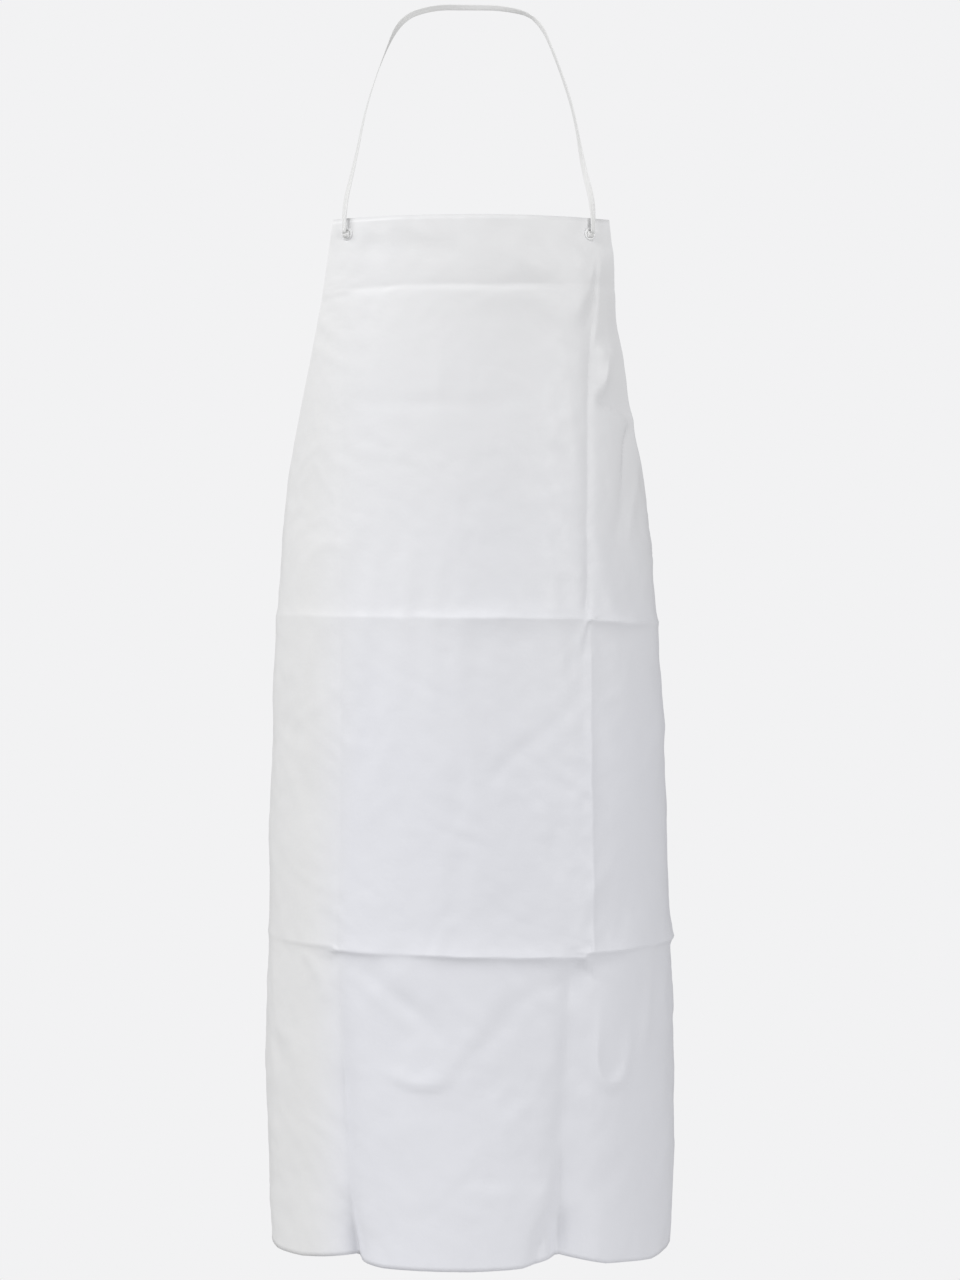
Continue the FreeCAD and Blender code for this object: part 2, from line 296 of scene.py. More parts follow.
# Each line is a list of (s across, v down, height outwards) in millimetres, then how far it reaches to the
# left and to the right hand of someone walking along it, then its sharpness: 1 is a crease, 2 a soft round
# fold.
RELIEF = (
    # creases across, where the apron was folded for packing
    ([(-150, 85, 0), (-138, 85, -0.4), (-60, 84.5, -0.7), (0, 84, -1.1), (60, 83.5, -1.3),
      (140, 83, -1.5), (160, 81, -0.7), (190, 82, -0.6), (206, 83, 0)], 11, 6, 1.1),
    ([(-150, 92, 0), (-138, 92, 0.1), (-60, 91.5, 0.2), (0, 91, 0.6), (60, 91, 1.1), (140, 90, 1.2),
      (160, 88, 0.5), (190, 89, 0.5), (206, 90, 0)], 5, 30, 1.2),
    ([(-150, 225, 0), (-95, 226, -0.6), (0, 227, -0.7), (62, 228, 0)], 10, 10, 1.2),
    ([(-445, 476, 0.6), (-160, 482, 1), (-60, 483, 2), (0, 484, 3), (140, 485, 3.3),
      (156, 487, 0)], 8, 28, 1.1),
    ([(148, 487, 0), (160, 488, 4.2), (200, 489, 4.8), (300, 490, 3), (445, 492, 1.3)], 10, 8, 1.1),
    ([(-445, 878, 1), (-321, 880, 1.2), (-172, 883, 1.6), (-160, 886, 2.8), (0, 890, 3.5),
      (100, 893, 4.3), (143, 895, 4.8), (155, 889, 3.4), (300, 886, 3.2), (445, 884, 1.5)], 16, 4.5, 1),
    ([(-445, 893, 0), (-170, 897, -0.4), (0, 903, -0.6), (140, 907, -1.2), (200, 900, -1.2),
      (445, 896, -0.6)], 12, 26, 1.6),
    # creases down, on the right
    ([(162, 66, 0), (160, 90, -1.9), (155, 200, -1.6), (153, 350, -1.6), (152, 476, -1.9),
      (152, 488, 0)], 10, 9, 1),
    ([(152, 488, 0), (155, 520, 1.6), (155, 700, 1.6), (155, 870, 1.7), (150, 884, 0)], 8, 10, 1),
    ([(142, 892, 0), (133, 905, -4.5), (124, 980, -7), (119, 1064, -7.5), (115, 1154, -9),
      (112, 1266, -12)], 24, 18, 1.3),
    ([(119, 1140, 0), (100, 1200, -3), (76, 1266, -6)], 14, 10, 1.4),
    # creases down, on the left
    ([(-154, 60, 0), (-156, 200, -0.5), (-158, 400, -0.5), (-159, 511, -0.9), (-162, 700, -0.8),
      (-166, 870, -0.8), (-167, 884, 0)], 9, 9, 1),
    ([(-170, 888, 0), (-168, 905, -2), (-162, 1000, -3), (-157, 1130, -5), (-154, 1200, -7.5),
      (-152, 1266, -11)], 14, 19, 1.25),
    # the bib's right: a pocket beside the crease, and folds that run to the armhole
    ([(160, 56, 0), (155, 78, 2), (146, 100, 2.2), (134, 120, 1.5), (120, 150, 0)], 9, 22, 1.2),
    ([(164, 56, 0), (160, 84, -2.4), (153, 112, -2), (147, 138, 0)], 6, 8, 1.2),
    ([(168, 44, 0), (166, 64, 2), (163, 100, 1.4), (161, 150, 1), (160, 162, 0)], 6, 5, 1.3),
    ([(198, 42, 0), (197, 76, -4.6), (204, 125, -5), (211, 160, -2), (214, 190, 0)], 62, 32, 1.8),
    ([(163, 158, 0), (178, 160, 1.8), (200, 165, 1.5), (214, 168, 0)], 8, 10, 1.2),
    ([(185, 166, 0), (182, 182, 2), (178, 204, 2), (172, 219, 0)], 14, 7, 1.2),
    ([(167, 219, 0), (181, 224, -4.6), (202, 230, -5), (220, 236, -2.8), (234, 240, 0)], 36, 5, 1.2),
    ([(235, 240, 0), (223, 262, -4), (214, 309, -3.4), (206, 345, -2.8), (199, 375, -1.5),
      (195, 392, 0)], 18, 7, 1.2),
    ([(250, 290, 0), (242, 312, 1.2), (231, 342, 2), (222, 375, 1.6), (216, 398, 0)], 10, 5, 1.3),
    # wrinkles below the waist
    ([(147, 580, 0), (87, 625, -0.9), (44, 661, -0.9), (14, 704, 0)], 7, 7, 1.5),
    ([(158, 592, 0), (185, 582, 0.9), (216, 570, 0)], 7, 7, 1.6),
    ([(168, 636, 0), (205, 660, 1.3), (246, 694, 0)], 18, 14, 1.9),
    # swags and ripples under the lowest crease
    ([(-150, 902, 0), (-102, 925, -1.8), (-46, 977, -1.8), (-22, 1012, 0)], 12, 10, 1.6),
    ([(156, 908, 0), (62, 942, -1.3), (38, 977, -1.5), (-10, 1026, 0)], 10, 12, 1.6),
    ([(-108, 1026, 0), (-78, 1040, 2.2), (-42, 1043, 2.2), (-12, 1030, 0)], 14, 5, 1.4),
    ([(166, 944, 0), (162, 1020, 1.6), (170, 1044, 2), (184, 1050, 2.1), (203, 1036, 1.6),
      (214, 970, 0)], 6, 7, 1.5),
    ([(252, 914, 0), (245, 970, 1.8), (230, 1030, 0)], 9, 9, 1.7),
    ([(-232, 890, 0), (-205, 905, 1.6), (-178, 952, 0)], 8, 9, 1.6),
    ([(-290, 1000, 0), (-268, 1025, -1.4), (-250, 1060, 0)], 18, 18, 2),
    # shallow dents and a swelling along the bib's top
    ([(-12, 54, 0), (20, 56, 1.6), (78, 57, 2), (112, 56, 0)], 38, 30, 1.8),
    ([(-150, 24, 0), (-121, 34, -0.9), (-96, 50, 0)], 14, 14, 2),
    ([(-60, 30, 0), (-34, 41, -0.9), (-8, 44, 0)], 12, 12, 2),
    ([(60, 36, 0), (87, 44, -0.9), (116, 52, 0)], 12, 12, 2),
)
# All those heights are multiplied by this.
RELIEF_GAIN = 1.5
# By how much, and over what lengths, smooth noise bends the lines' courses and makes them fade and swell.
WANDER = 1.6 * MM
WANDER_LENGTH = 38 * MM
WANDER_SEEDS = (61.5, 71.5)
FADE = 0.7
FADE_LENGTH = 60 * MM
FADE_SEED = 81.5

# Soft unevenness of the film: (wavelength, height) in millimetres, each a few crossing waves.
UNEVEN = ((260, 1.1), (120, 0.55), (55, 0.2))
UNEVEN_SEED = 11
WAVES = 7
WAVE_STRETCH = (0.7, 1.4)

# Fine crumples of a film that was folded and pressed: (length, width, slant in degrees, height), lengths in
# millimetres.
CRUMPLES = ((90, 38, 52, 2), (60, 30, -35, 1.5), (34, 20, 70, 1.3), (24, 14, 20, 0.9))
# The crests lie where a noise passes 0, and the crumples' own level is where it has this value.
RIDGE_LEVEL = 0.35
RIDGE_SEED = 0.5
RIDGE_SEED_STEP = 10.5
# Each size of crumple comes in patches: it rises as a wider noise goes from the first value to the second.
PATCH_RISE = (-0.5, 0.35)
PATCH_LENGTH = 140 * MM
PATCH_SEED = 40
PATCH_SEED_STEP = 3.5
# How much, in its own lengths and widths, a crumple's place is bent by noise.
WARP = 0.55
WARP_LENGTH = 70 * MM
WARP_SEEDS = (2.5, 7.5)

# The relief is flat within the first distance of an eyelet, and there in full beyond the second.
FLAT_ROUND_EYELETS = (12 * MM, 34 * MM)

# How far the hem hangs lower (or higher, negative) than level: (s, millimetres).
HEM = ((-440, 0), (-340, 2), (-290, 3), (-230, 0), (-175, -7), (-156, -9), (-148, -5), (-110, 0), (0, 0),
       (60, -3), (98, -10), (113, -13), (132, -9), (170, 0), (204, 3), (251, 8), (300, 4), (400, 0), (440, 0))
HEM_FADES = 110 * MM

# How far the front hangs to the right of the body's middle: (v, millimetres), and between which distances
# round the sides that fades out.
LEAN = ((0, 0), (60, 0), (98, -0.4), (150, -1.8), (216, -3), (345, -3), (487, -2.6), (620, -1),
        (850, 0.4), (1030, 0.8), (1160, 2.6), (1266, 4))
LEAN_FADES = (330 * MM, 410 * MM)


def noise_at(s, v, wavelength, seed):
    """Smooth noise from -1 to 1 over the sheet."""
    places = zip((s / wavelength).ravel().tolist(), (v / wavelength).ravel().tolist())
    return np.array([noise.noise((a, b, seed)) for a, b in places]).reshape(s.shape)


def fold(s, v, points, left, right, sharpness):
    """The height of one crease or fold over the whole sheet."""
    nearest = np.full(s.shape, np.inf)
    height = np.zeros(s.shape)
    hand = np.ones(s.shape)
    line = smooth_line(points) * MM
    for start, end in zip(line, line[1:]):
        run = end - start
        squared = run[0] ** 2 + run[1] ** 2
        along = np.clip(((s - start[0]) * run[0] + (v - start[1]) * run[1]) / squared, 0, 1)
        off_s = s - start[0] - along * run[0]
        off_v = v - start[1] - along * run[1]
        distance = np.hypot(off_s, off_v)
        closer = distance < nearest
        nearest = np.where(closer, distance, nearest)
        height = np.where(closer, start[2] + along * run[2], height)
        hand = np.where(closer, run[0] * off_v - run[1] * off_s, hand)
    reach = np.where(hand < 0, left, right) * MM
    return height * np.exp(-((nearest / reach) ** sharpness))


def creases(s, v):
    """All the lines of relief, a little unsteady in their course and in their height."""
    course_s = s + WANDER * noise_at(s, v, WANDER_LENGTH, WANDER_SEEDS[0])
    course_v = v + WANDER * noise_at(s, v, WANDER_LENGTH, WANDER_SEEDS[1])
    strength = 1 + FADE * noise_at(s, v, FADE_LENGTH, FADE_SEED)
    return RELIEF_GAIN * strength * sum(fold(course_s, course_v, *line) for line in RELIEF)


def unevenness(s, v):
    """The height of the film's soft waves."""
    generator = np.random.default_rng(UNEVEN_SEED)
    total = np.zeros(s.shape)
    for wavelength, height in UNEVEN:
        for _ in range(WAVES):
            direction = generator.uniform(0, math.pi)
            phase = generator.uniform(0, 2 * math.pi)
            length = wavelength * generator.uniform(*WAVE_STRETCH) * MM
            along = s * math.cos(direction) + v * math.sin(direction)
            total += height * MM / math.sqrt(WAVES) * np.sin(2 * math.pi * along / length + phase)
    return total


def crumples(s, v):
    """Sharp little ridges between smooth hollows, stronger in some patches than in others."""
    total = np.zeros(s.shape)
    bend_s, bend_v = (WARP * noise_at(s, v, WARP_LENGTH, seed) for seed in WARP_SEEDS)
    for i, (length, width, slant, height) in enumerate(CRUMPLES):
        turn = math.radians(slant)
        along = (s * math.cos(turn) - v * math.sin(turn)) / (length * MM) + bend_s
        over = (s * math.sin(turn) + v * math.cos(turn)) / (width * MM) + bend_v
        ridge = RIDGE_LEVEL - np.abs(noise_at(along, over, 1, RIDGE_SEED + RIDGE_SEED_STEP * i))
        patch = eased(*PATCH_RISE, noise_at(s, v, PATCH_LENGTH, PATCH_SEED + PATCH_SEED_STEP * i))
        total += height * MM * ridge * patch
    return total


def relief(s, v):
    """How far the sheet stands out from the body it lies on, before it settles."""
    height = unevenness(s, v) + crumples(s, v) + creases(s, v)
    return height * clear_of_eyelets(s, v, *FLAT_ROUND_EYELETS)


def hem_drop(s, v):
    return read(HEM, s) * eased(SHEET_LENGTH - HEM_FADES, SHEET_LENGTH, v)


def lean(s, v):
    return read(LEAN, v) * (1 - eased(*LEAN_FADES, np.abs(s)))


def surface(s, v, settled=0):
    """The sheet's outer face, and its true normals, for rows of points across it."""
    down = np.broadcast_to(v[:, None], s.shape)
    points, level = on_body(s, v)
    points = points + level * (relief(s, down) + settled)[..., None]
    points[..., 0] += lean(s, down)
    points[..., 2] -= hem_drop(s, down)
    across = np.gradient(points, axis=1)
    along = np.gradient(points, axis=0)
    return points, unit(np.cross(along, across))


# ---------------------------------------------------------------- materials

# Where the film's white turns from neutral to a slightly darker, cooler tint, which is painted bluish shade:
# metres in x, and in z downwards.
SHADE_TINT_FROM_X = (-0.21, -0.12)
SHADE_TINT_FROM_Z = (-0.3, -1.25)
FILM_ROUGHNESS = (0.34, 0.54)
# From one rib of the tape to the next.
RIB_PITCH = 0.9 * MM
# Colour ramps, each with two (position, colour) stops.
FILM_WHITE_AND_SHADE_COLOURS = ((0.05, (0.871, 0.871, 0.871)), (1.0, (0.846, 0.853, 0.897)))
TAPE_GROOVE_SHADE_COLOURS = ((0.1, (0.86, 0.86, 0.85)), (0.7, (0.96, 0.96, 0.955)))
PLASTIC_COLOURS = ((0.3, (0.85, 0.855, 0.86)), (0.7, (0.89, 0.89, 0.89)))


def material(name):
    """A new material, its nodes and links, and its shader."""
    made = bpy.data.materials.new(name)
    made.use_nodes = True
    shader = made.node_tree.nodes["Principled BSDF"]
    return made, made.node_tree.nodes, made.node_tree.links, shader


def object_places(nodes):
    return nodes.new("ShaderNodeTexCoord").outputs["Object"]


def attribute(nodes, name):
    node = nodes.new("ShaderNodeAttribute")
    node.attribute_name = name
    return node.outputs["Fac"]


def noise_texture(nodes, links, coordinates, scale, detail=3.0, roughness=0.5):
    node = nodes.new("ShaderNodeTexNoise")
    node.inputs["Scale"].default_value = scale
    node.inputs["Detail"].default_value = detail
    node.inputs["Roughness"].default_value = roughness
    links.new(coordinates, node.inputs["Vector"])
    return node.outputs["Fac"]


def ramp(nodes, links, factor, stops):
    node = nodes.new("ShaderNodeValToRGB")
    for element, (position, colour) in zip(node.color_ramp.elements, stops):
        element.position = position
        element.color = (*colour, 1)
    links.new(factor, node.inputs["Fac"])
    return node.outputs["Color"]


def bump(nodes, links, height, distance, strength, before=None):
    """A normal bent by a height, on top of an earlier bump."""
    node = nodes.new("ShaderNodeBump")
    node.inputs["Distance"].default_value = distance
    node.inputs["Strength"].default_value = strength
    links.new(height, node.inputs["Height"])
    if before is not None:
        links.new(before, node.inputs["Normal"])
    return node.outputs["Normal"]


def calculated(nodes, links, operation, *values):
    """A Math node on links or plain numbers."""
    node = nodes.new("ShaderNodeMath")
    node.operation = operation
    for value, socket in zip(values, node.inputs):
        if isinstance(value, bpy.types.NodeSocket):
            links.new(value, socket)
        else:
            socket.default_value = value
    return node.outputs[0]


def eased_range(nodes, links, value, ends, results=(0, 1)):
    """A smooth change from the first result to the second as value goes from one end to the other."""
    node = nodes.new("ShaderNodeMapRange")
    node.interpolation_type = "SMOOTHSTEP"
    for name, number in zip(("From Min", "From Max", "To Min", "To Max"), (*ends, *results)):
        node.inputs[name].default_value = number
    links.new(value, node.inputs["Value"])
    return node.outputs["Result"]


def coated_sheet_material():
    """White vinyl film: satin, with a fine pressed grain, and painted bluish shade: its white turns cooler
    and a little darker lower down and away from the left edge, and also in random patches.
    """
    made, nodes, links, shader = material("coated_sheet")
    place = object_places(nodes)
    axes = nodes.new("ShaderNodeSeparateXYZ")
    links.new(place, axes.inputs[0])
    # Painted shade: the white turns cooler and a little darker lower down and right of the left edge; random
    # noise patches add to it.
    beside = eased_range(nodes, links, axes.outputs["X"], SHADE_TINT_FROM_X)
    below = eased_range(nodes, links, axes.outputs["Z"], SHADE_TINT_FROM_Z)
    clouds = noise_texture(nodes, links, place, scale=3.2, detail=2.0)
    patchy = calculated(nodes, links, "MULTIPLY", clouds, 0.5)
    painted_shade_and_patches = calculated(nodes, links, "MULTIPLY", beside, calculated(nodes, links, "ADD", below, patchy))
    links.new(ramp(nodes, links, painted_shade_and_patches, FILM_WHITE_AND_SHADE_COLOURS), shader.inputs["Base Color"])
    shine = noise_texture(nodes, links, place, scale=46, detail=4.0)
    gloss = eased_range(nodes, links, shine, (0, 1), FILM_ROUGHNESS)
    links.new(gloss, shader.inputs["Roughness"])
    veins = noise_texture(nodes, links, place, scale=30, detail=3.0, roughness=0.55)
    sharp = calculated(nodes, links, "ABSOLUTE", calculated(nodes, links, "SUBTRACT", veins, 0.5))
    ripple = bump(nodes, links, sharp, distance=1.2 * MM, strength=0.5)
    pressed = noise_texture(nodes, links, place, scale=900, detail=2.0)
    grain = bump(nodes, links, pressed, distance=0.2 * MM, strength=0.25, before=ripple)
    links.new(grain, shader.inputs["Normal"])
    shader.inputs["Specular IOR Level"].default_value = 0.4
    return made


def tape_material():
    """Woven cotton tape: a herringbone of slanting ribs on both sides of the middle, with painted shade in
    the grooves between the ribs.
    """
    made, nodes, links, shader = material("neck_tape")
    across = calculated(nodes, links, "ABSOLUTE", attribute(nodes, "across"))
    slanted = calculated(nodes, links, "ADD", attribute(nodes, "along"), across)
    phase = calculated(nodes, links, "MULTIPLY", slanted, 2 * math.pi / RIB_PITCH)
    rib = calculated(nodes, links, "MULTIPLY_ADD", calculated(nodes, links, "SINE", phase), 0.5, 0.5)
    # Painted shade: the tape's colour darkens where the ribs' height is low, in the grooves.
    links.new(ramp(nodes, links, rib, TAPE_GROOVE_SHADE_COLOURS), shader.inputs["Base Color"])
    weave = bump(nodes, links, rib, distance=0.2 * MM, strength=0.8)
    fibres = noise_texture(nodes, links, object_places(nodes), scale=2500, detail=2.0)
    fuzz = bump(nodes, links, fibres, distance=0.1 * MM, strength=0.4, before=weave)
    links.new(fuzz, shader.inputs["Normal"])
    shader.inputs["Roughness"].default_value = 0.85
    shader.inputs["Sheen Weight"].default_value = 0.25
    return made


def plastic_material():
    """White moulded plastic, glossy, with a faint flow unevenness."""
    made, nodes, links, shader = material("eyelet_plastic")
    place = object_places(nodes)
    flow = noise_texture(nodes, links, place, scale=120, detail=2.0)
    links.new(ramp(nodes, links, flow, PLASTIC_COLOURS), shader.inputs["Base Color"])
    moulded = noise_texture(nodes, links, place, scale=400, detail=2.0)
    links.new(bump(nodes, links, moulded, distance=0.2 * MM, strength=0.12), shader.inputs["Normal"])
    shader.inputs["Roughness"].default_value = 0.24
    return made


VINYL = coated_sheet_material()
TAPE = tape_material()
PLASTIC = plastic_material()


# ---------------------------------------------------------------- neck tape

TAPE_WIDTH = 7 * MM
TAPE_THICKNESS = 1.2 * MM
# The tape draws together where it goes into an eyelet.
BUNCHED_WIDTH = 5 * MM
BUNCHED_THICKNESS = 1.9 * MM
BUNCHED_LENGTH = 40 * MM
# The control points of the tape's way from the left bib eyelet round the neck to the right one, in
# millimetres.
ROUTE = (
    (-150.261, -165.495, -310.92),
    (-151.5, -164.5, -281),
    (-138, -148, -222),
    (-126, -126, -150),
    (-107, -94, -82),
    (-86, -49, -22),
    (-46, -13, 1),
    (-2, 4, 5),
    (44, -13, 0.5),
    (87, -46, -19),
    (109.5, -94, -86),
    (129, -127, -155),
    (139, -149, -226),
    (152.5, -164.5, -282),
    (150.261, -165.495, -310.92),
)
ROUTE_ORDER = 3
ROUTE_RESOLUTION = 16
# The tape's cross-section is a flat ring of points, which the powers make fuller than an ellipse.
RING_POINTS = 16
WIDTH_POWER = 0.4
THICKNESS_POWER = 0.7
# Which way the tape's flat side faces, in degrees round from the right (90 is the back), at shares of the
# way from the back of the neck to the left (negative) and right eyelets.
FACING_SHARES = np.array((-1, -0.88, -0.7, -0.5, -0.34, -0.22, -0.12, 0,
                          0.12, 0.22, 0.34, 0.5, 0.7, 0.88, 1))
FACING_TURNS = np.radians((245, 230, 206, 196, 168, 97, 90, 90, 90, 83, 22, 14, 25, 85, 115))
facing_turn = spline(FACING_SHARES, FACING_TURNS)
# How far the flat side also looks up, in degrees.
TILT_SHARES = np.array((-1, -0.4, -0.22, 0, 0.12, 0.22, 0.4, 1))
TILTS = np.radians((0, 0, 10, 20, 32, 50, 0, 0))


def route_points():
    """Points read from the smooth spline that has the route's points as its control points."""
    data = bpy.data.curves.new("tape_route", "CURVE")
    data.dimensions = "3D"
    line = data.splines.new("NURBS")
    line.points.add(len(ROUTE) - 1)
    for point, place in zip(line.points, ROUTE):
        point.co = (*(Vector(place) * MM), 1)
    line.order_u = ROUTE_ORDER
    line.use_endpoint_u = True
    line.resolution_u = ROUTE_RESOLUTION
    guide = new_object("tape_route", data)
    bpy.context.view_layer.update()
    mesh = bpy.data.meshes.new_from_object(guide)
    points = np.array([v.co for v in mesh.vertices])
    bpy.data.objects.remove(guide)
    bpy.data.meshes.remove(mesh)
    return points


def squarish(waves, power):
    """Sines or cosines made fuller, and halved."""
    return np.sign(waves) * np.abs(waves) ** power / 2


def flat_ribbon(points, facing, widths, thicknesses):
    """A tape along points, its flat side towards facing: points, faces, each point's (across, along)."""
    tangents = unit(np.gradient(points, axis=0))
    sideways = unit(np.cross(tangents, facing))
    outwards = np.cross(sideways, tangents)
    angles = np.arange(RING_POINTS) * 2 * math.pi / RING_POINTS
    flat = squarish(np.cos(angles), WIDTH_POWER)
    thick = squarish(np.sin(angles), THICKNESS_POWER)
    widths = np.broadcast_to(widths, len(points))
    thicknesses = np.broadcast_to(thicknesses, len(points))
    rings = (
        points[:, None]
        + sideways[:, None] * flat[None, :, None] * widths[:, None, None]
        + outwards[:, None] * thick[None, :, None] * thicknesses[:, None, None]
    )
    faces = grid_faces(len(points), RING_POINTS, closed=True)
    last = (len(points) - 1) * RING_POINTS
    faces.append(tuple(range(RING_POINTS))[::-1])
    faces.append(tuple(last + i for i in range(RING_POINTS)))
    coordinates = [(f * w, d) for d, w in zip(travelled_along(points), widths) for f in flat]
    return rings.reshape(-1, 3), faces, coordinates


def give_weave(mesh, coordinates):
    """Stores where each point lies across and along the tape, for the weave."""
    for name, column in (("across", 0), ("along", 1)):
        values = mesh.attributes.new(name, "FLOAT", "POINT")
        values.data.foreach_set("value", [c[column] for c in coordinates])


def tape_facing(share):
    """The direction of the tape's flat side, share of the way from the back of the neck to an eyelet."""
    turn = facing_turn(share)
    tilt = np.interp(share, TILT_SHARES, TILTS)
    return np.array([np.cos(tilt) * np.cos(turn), np.cos(tilt) * np.sin(turn), np.sin(tilt)]).T


def make_tape():
    """The woven tape, and the line along its middle."""
    points = route_points()
    travelled = travelled_along(points)
    length = float(travelled[-1])
    facing = tape_facing(travelled / length * 2 - 1)
    from_eyelet = np.minimum(travelled, length - travelled)
    bunched = 1 - eased(0, BUNCHED_LENGTH, from_eyelet)
    widths = TAPE_WIDTH - (TAPE_WIDTH - BUNCHED_WIDTH) * bunched
    thicknesses = TAPE_THICKNESS + (BUNCHED_THICKNESS - TAPE_THICKNESS) * bunched
    ring_points, faces, coordinates = flat_ribbon(points, facing, widths, thicknesses)
    mesh = mesh_of("neck_tape_woven", ring_points, faces)
    give_weave(mesh, coordinates)
    return add_piece("neck_tape_woven", mesh, TAPE, "neck_tape", "neck_loop"), points


tape, tape_line = make_tape()


# ---------------------------------------------------------------- the sheet

SHEET_THICKNESS = 0.9 * MM
# The usual distance between the sheet's points, and how much denser they are beside a crease.
SPACING = 6 * MM
FINE_SHARE = 3.2
FINE_REACH = 9 * MM
CREASE_ROWS = np.array([85, 484, 888]) * MM
CREASE_COLUMNS = np.array([-163, 154]) * MM
SPACING_SAMPLES = 4000
# Columns run straight down within this distance of the middle, and follow the edge beyond it. Where the sheet
# is narrower, they draw together to this share of its width.
STILL_SPAN = 176 * MM
STILL_SHARE = 0.97
# How far the bib's left and right edges lie further in than the pattern says: (v, left, right) in
# millimetres.
EDGE_TRIMS = ((0, 1.6, -5.2), (30, 1.4, -4.8), (66, 2, -4.8), (94, 2.6, -5), (127, 2.8, -4),
              (157, 2.8, -1.5), (190, 2.4, 0), (216, 1.6, 0), (255, 0, -1.6), (300, 0, -4),
              (345, 0, 0), (1266, 0, 0))
TRIM_POWER = 4

# How the sheet hangs: a coarse copy is simulated as cloth, slightly too large for the body in patches, and
# held softly to it, so that it sags and buckles between the eyelets as the real film does.
COARSE_ROW_STEP = 2
COARSE_COLUMNS = 75
SETTLED_COLUMNS = 220
CLOTH_FRAMES = 24
CLOTH_QUALITY = 5
CLOTH_MASS = 0.3
CLOTH_STRETCH_STIFFNESS = 15
CLOTH_SHEAR_STIFFNESS = 9
CLOTH_BENDING_STIFFNESS = 2
SOFT_HOLD = 0.26
SLACK = 0.018
SLACK_RISE = (-0.4, 0.4)
SLACK_LENGTH = 110 * MM
SLACK_SEED = 3.1
# The cloth is held fast within the first distance of the top or of an eyelet, and softly beyond the second.
STIFF_TOP = (24 * MM, 60 * MM)
STIFF_ROUND_EYELETS = (26 * MM, 60 * MM)
MOST_SETTLING = 6 * MM


def spaced(low, high, creases):
    """Positions from low to high, closer together beside creases."""
    fine = np.linspace(low, high, SPACING_SAMPLES)
    density = np.ones_like(fine)
    for crease in creases:
        density += (FINE_SHARE - 1) * np.exp(-(((fine - crease) / FINE_REACH) ** 2))
    total = running_total((density[1:] + density[:-1]) / 2 * np.diff(fine))
    count = round(total[-1] / SPACING)
    return np.interp(np.linspace(0, total[-1], count + 1), total, fine)


def sheet_grid():
    """For each row down the sheet the places across it, and how far down the rows lie."""
    v = spaced(0, SHEET_LENGTH, CREASE_ROWS)
    middle = spaced(-STILL_SPAN, STILL_SPAN, CREASE_COLUMNS)
    spans = np.array([half_span(down) for down in v])
    still = np.minimum(STILL_SPAN, spans * STILL_SHARE)
    wing_count = round((spans.max() - STILL_SPAN) / SPACING)
    wing = np.arange(1, wing_count + 1) / wing_count
    rows = []
    for span, inner in zip(spans, still):
        right = inner + (span - inner) * wing
        rows.append(np.concatenate([-right[::-1], middle * inner / STILL_SPAN, right]))
    rows = np.array(rows)
    downs, *sides = np.array(EDGE_TRIMS).T * MM
    left_trim, right_trim = (np.interp(v, downs, side)[:, None] for side in sides)
    trims = np.where(rows < 0, left_trim, right_trim)
    return rows - np.sign(rows) * trims * (np.abs(rows) / spans[:, None]) ** TRIM_POWER, v


def weight_group(piece, name, weights):
    """Gives each point of a piece its weight in a new vertex group, and returns the group's name."""
    group = piece.vertex_groups.new(name=name)
    for i, weight in enumerate(weights.ravel()):
        group.add([i], float(weight), "REPLACE")
    return name


def simulated(points, held, slack):
    """The points after they have hung as cloth."""
    mesh = mesh_of("drape", points, grid_faces(*points.shape[:2]))
    drape = new_object("drape", mesh)
    cloth = drape.modifiers.new("cloth", "CLOTH")
    settings = cloth.settings
    settings.quality = CLOTH_QUALITY
    settings.mass = CLOTH_MASS
    settings.tension_stiffness = CLOTH_STRETCH_STIFFNESS
    settings.compression_stiffness = CLOTH_STRETCH_STIFFNESS
    settings.shear_stiffness = CLOTH_SHEAR_STIFFNESS
    settings.bending_stiffness = CLOTH_BENDING_STIFFNESS
    settings.vertex_group_mass = weight_group(drape, "held", held)
    settings.vertex_group_shrink = weight_group(drape, "slack", slack)
    settings.shrink_min = 0
    settings.shrink_max = -SLACK
    cloth.collision_settings.use_collision = False
    cloth.point_cache.frame_end = CLOTH_FRAMES
    for number in range(1, CLOTH_FRAMES + 1):
        bpy.context.scene.frame_set(number)
    graph = bpy.context.evaluated_depsgraph_get()
    places = np.empty(points.size, np.float32)
    drape.evaluated_get(graph).data.vertices.foreach_get("co", places)
    bpy.data.objects.remove(drape)
    bpy.data.meshes.remove(mesh)
    bpy.context.scene.frame_set(1)
    return places.reshape(points.shape)


def spread(values, from_places, to_places, axis):
    """Values at from_places along one axis, read at to_places."""
    return np.apply_along_axis(lambda line: np.interp(to_places, from_places, line), axis, values)


def smoothed(values, times=2):
    """Each value averaged with its neighbours, down and across."""
    for _ in range(times):
        for axis in (0, 1):
            low = np.take(values, [0], axis)
            high = np.take(values, [-1], axis)
            wide = np.concatenate([low, values, high], axis)
            count = values.shape[axis]
            before = np.take(wide, range(count), axis)
            after = np.take(wide, range(2, count + 2), axis)
            values = values / 2 + (before + after) / 4
    return values


